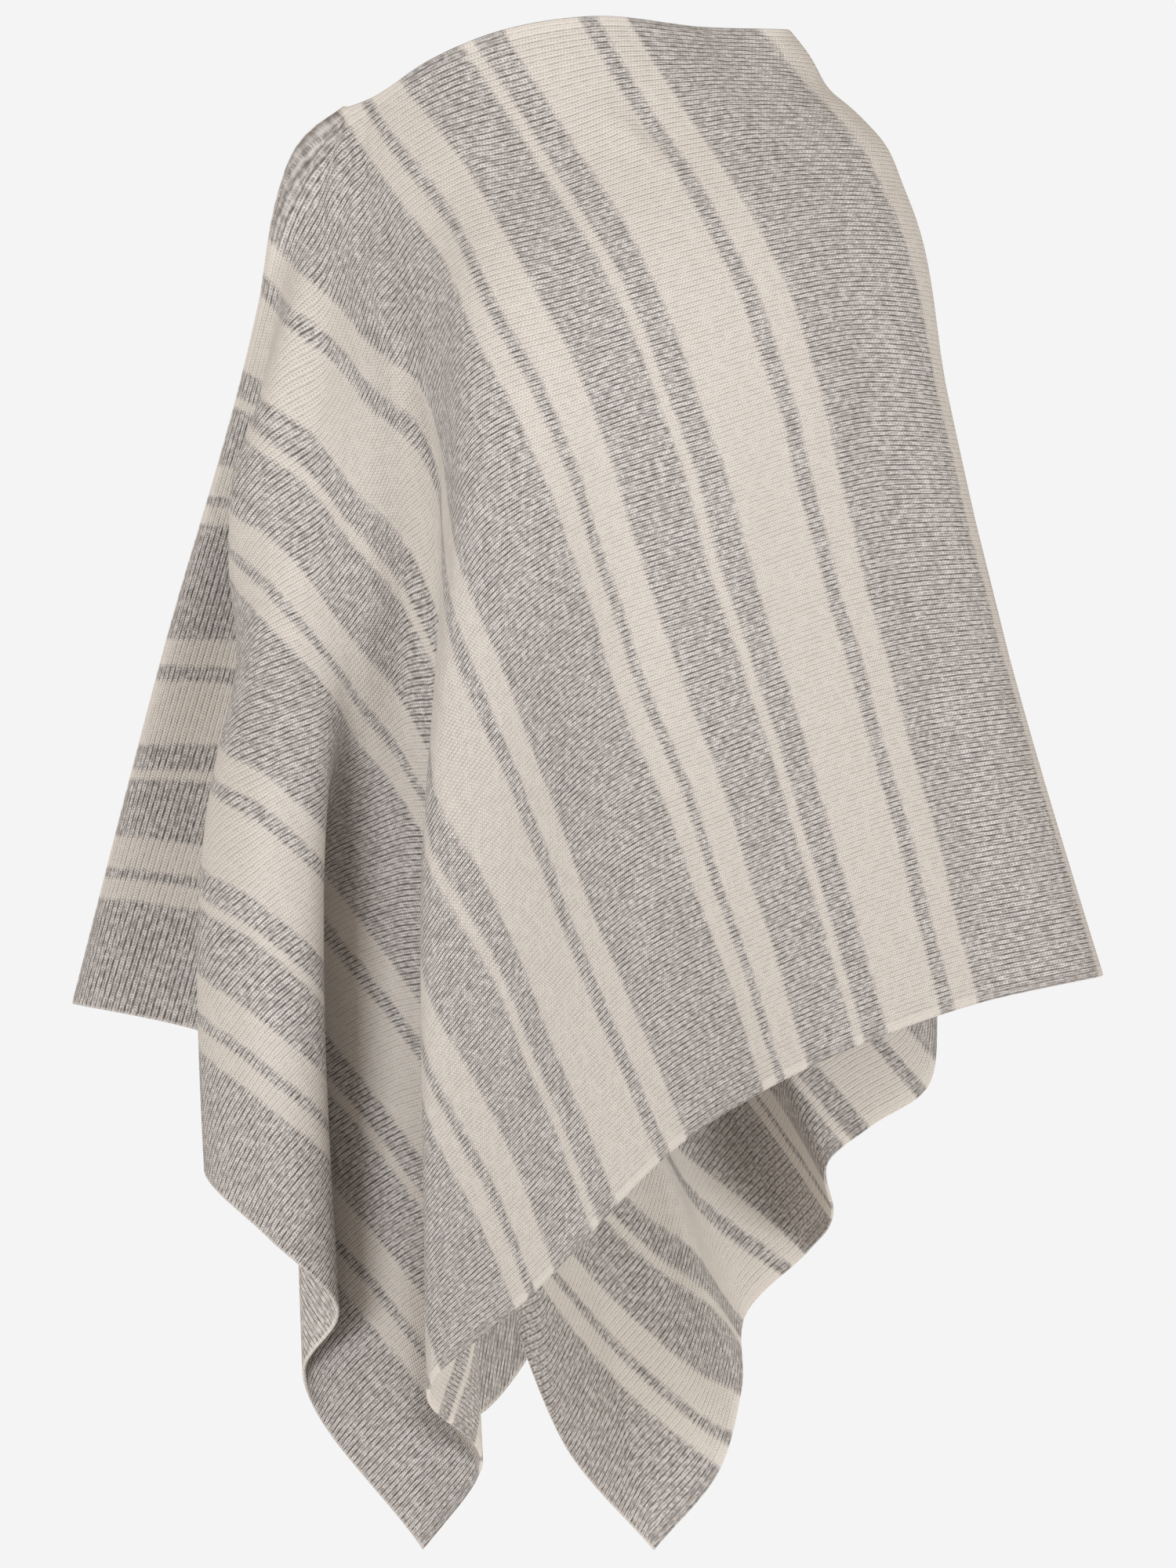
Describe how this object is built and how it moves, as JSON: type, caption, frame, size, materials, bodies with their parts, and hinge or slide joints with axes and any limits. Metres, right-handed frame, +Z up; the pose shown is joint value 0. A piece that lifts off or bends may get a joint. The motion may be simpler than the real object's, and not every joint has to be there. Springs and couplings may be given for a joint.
{
  "type": "knitted poncho sweater",
  "caption": "Folded rectangle of striped wool knit worn as a poncho, open at the neck, with free corners front and back.",
  "frame": {"origin": "midway between the tops of the two shoulders that hold it up", "axes": "+Z up, the front faces -Y, +X towards the wearer's left"},
  "size_m": [0.7334, 0.4825, 1.0817],
  "materials": {
    "striped_knit": "soft lightly felted wool knit, grey melange with cream stripes",
    "seam_yarn": "matt wool yarn in the colour of each stripe"
  },
  "bodies": {
    "root": {"front_panel": "striped_knit", "back_panel": "striped_knit", "joined_edge_seam": "seam_yarn"}
  },
  "joints": []
}
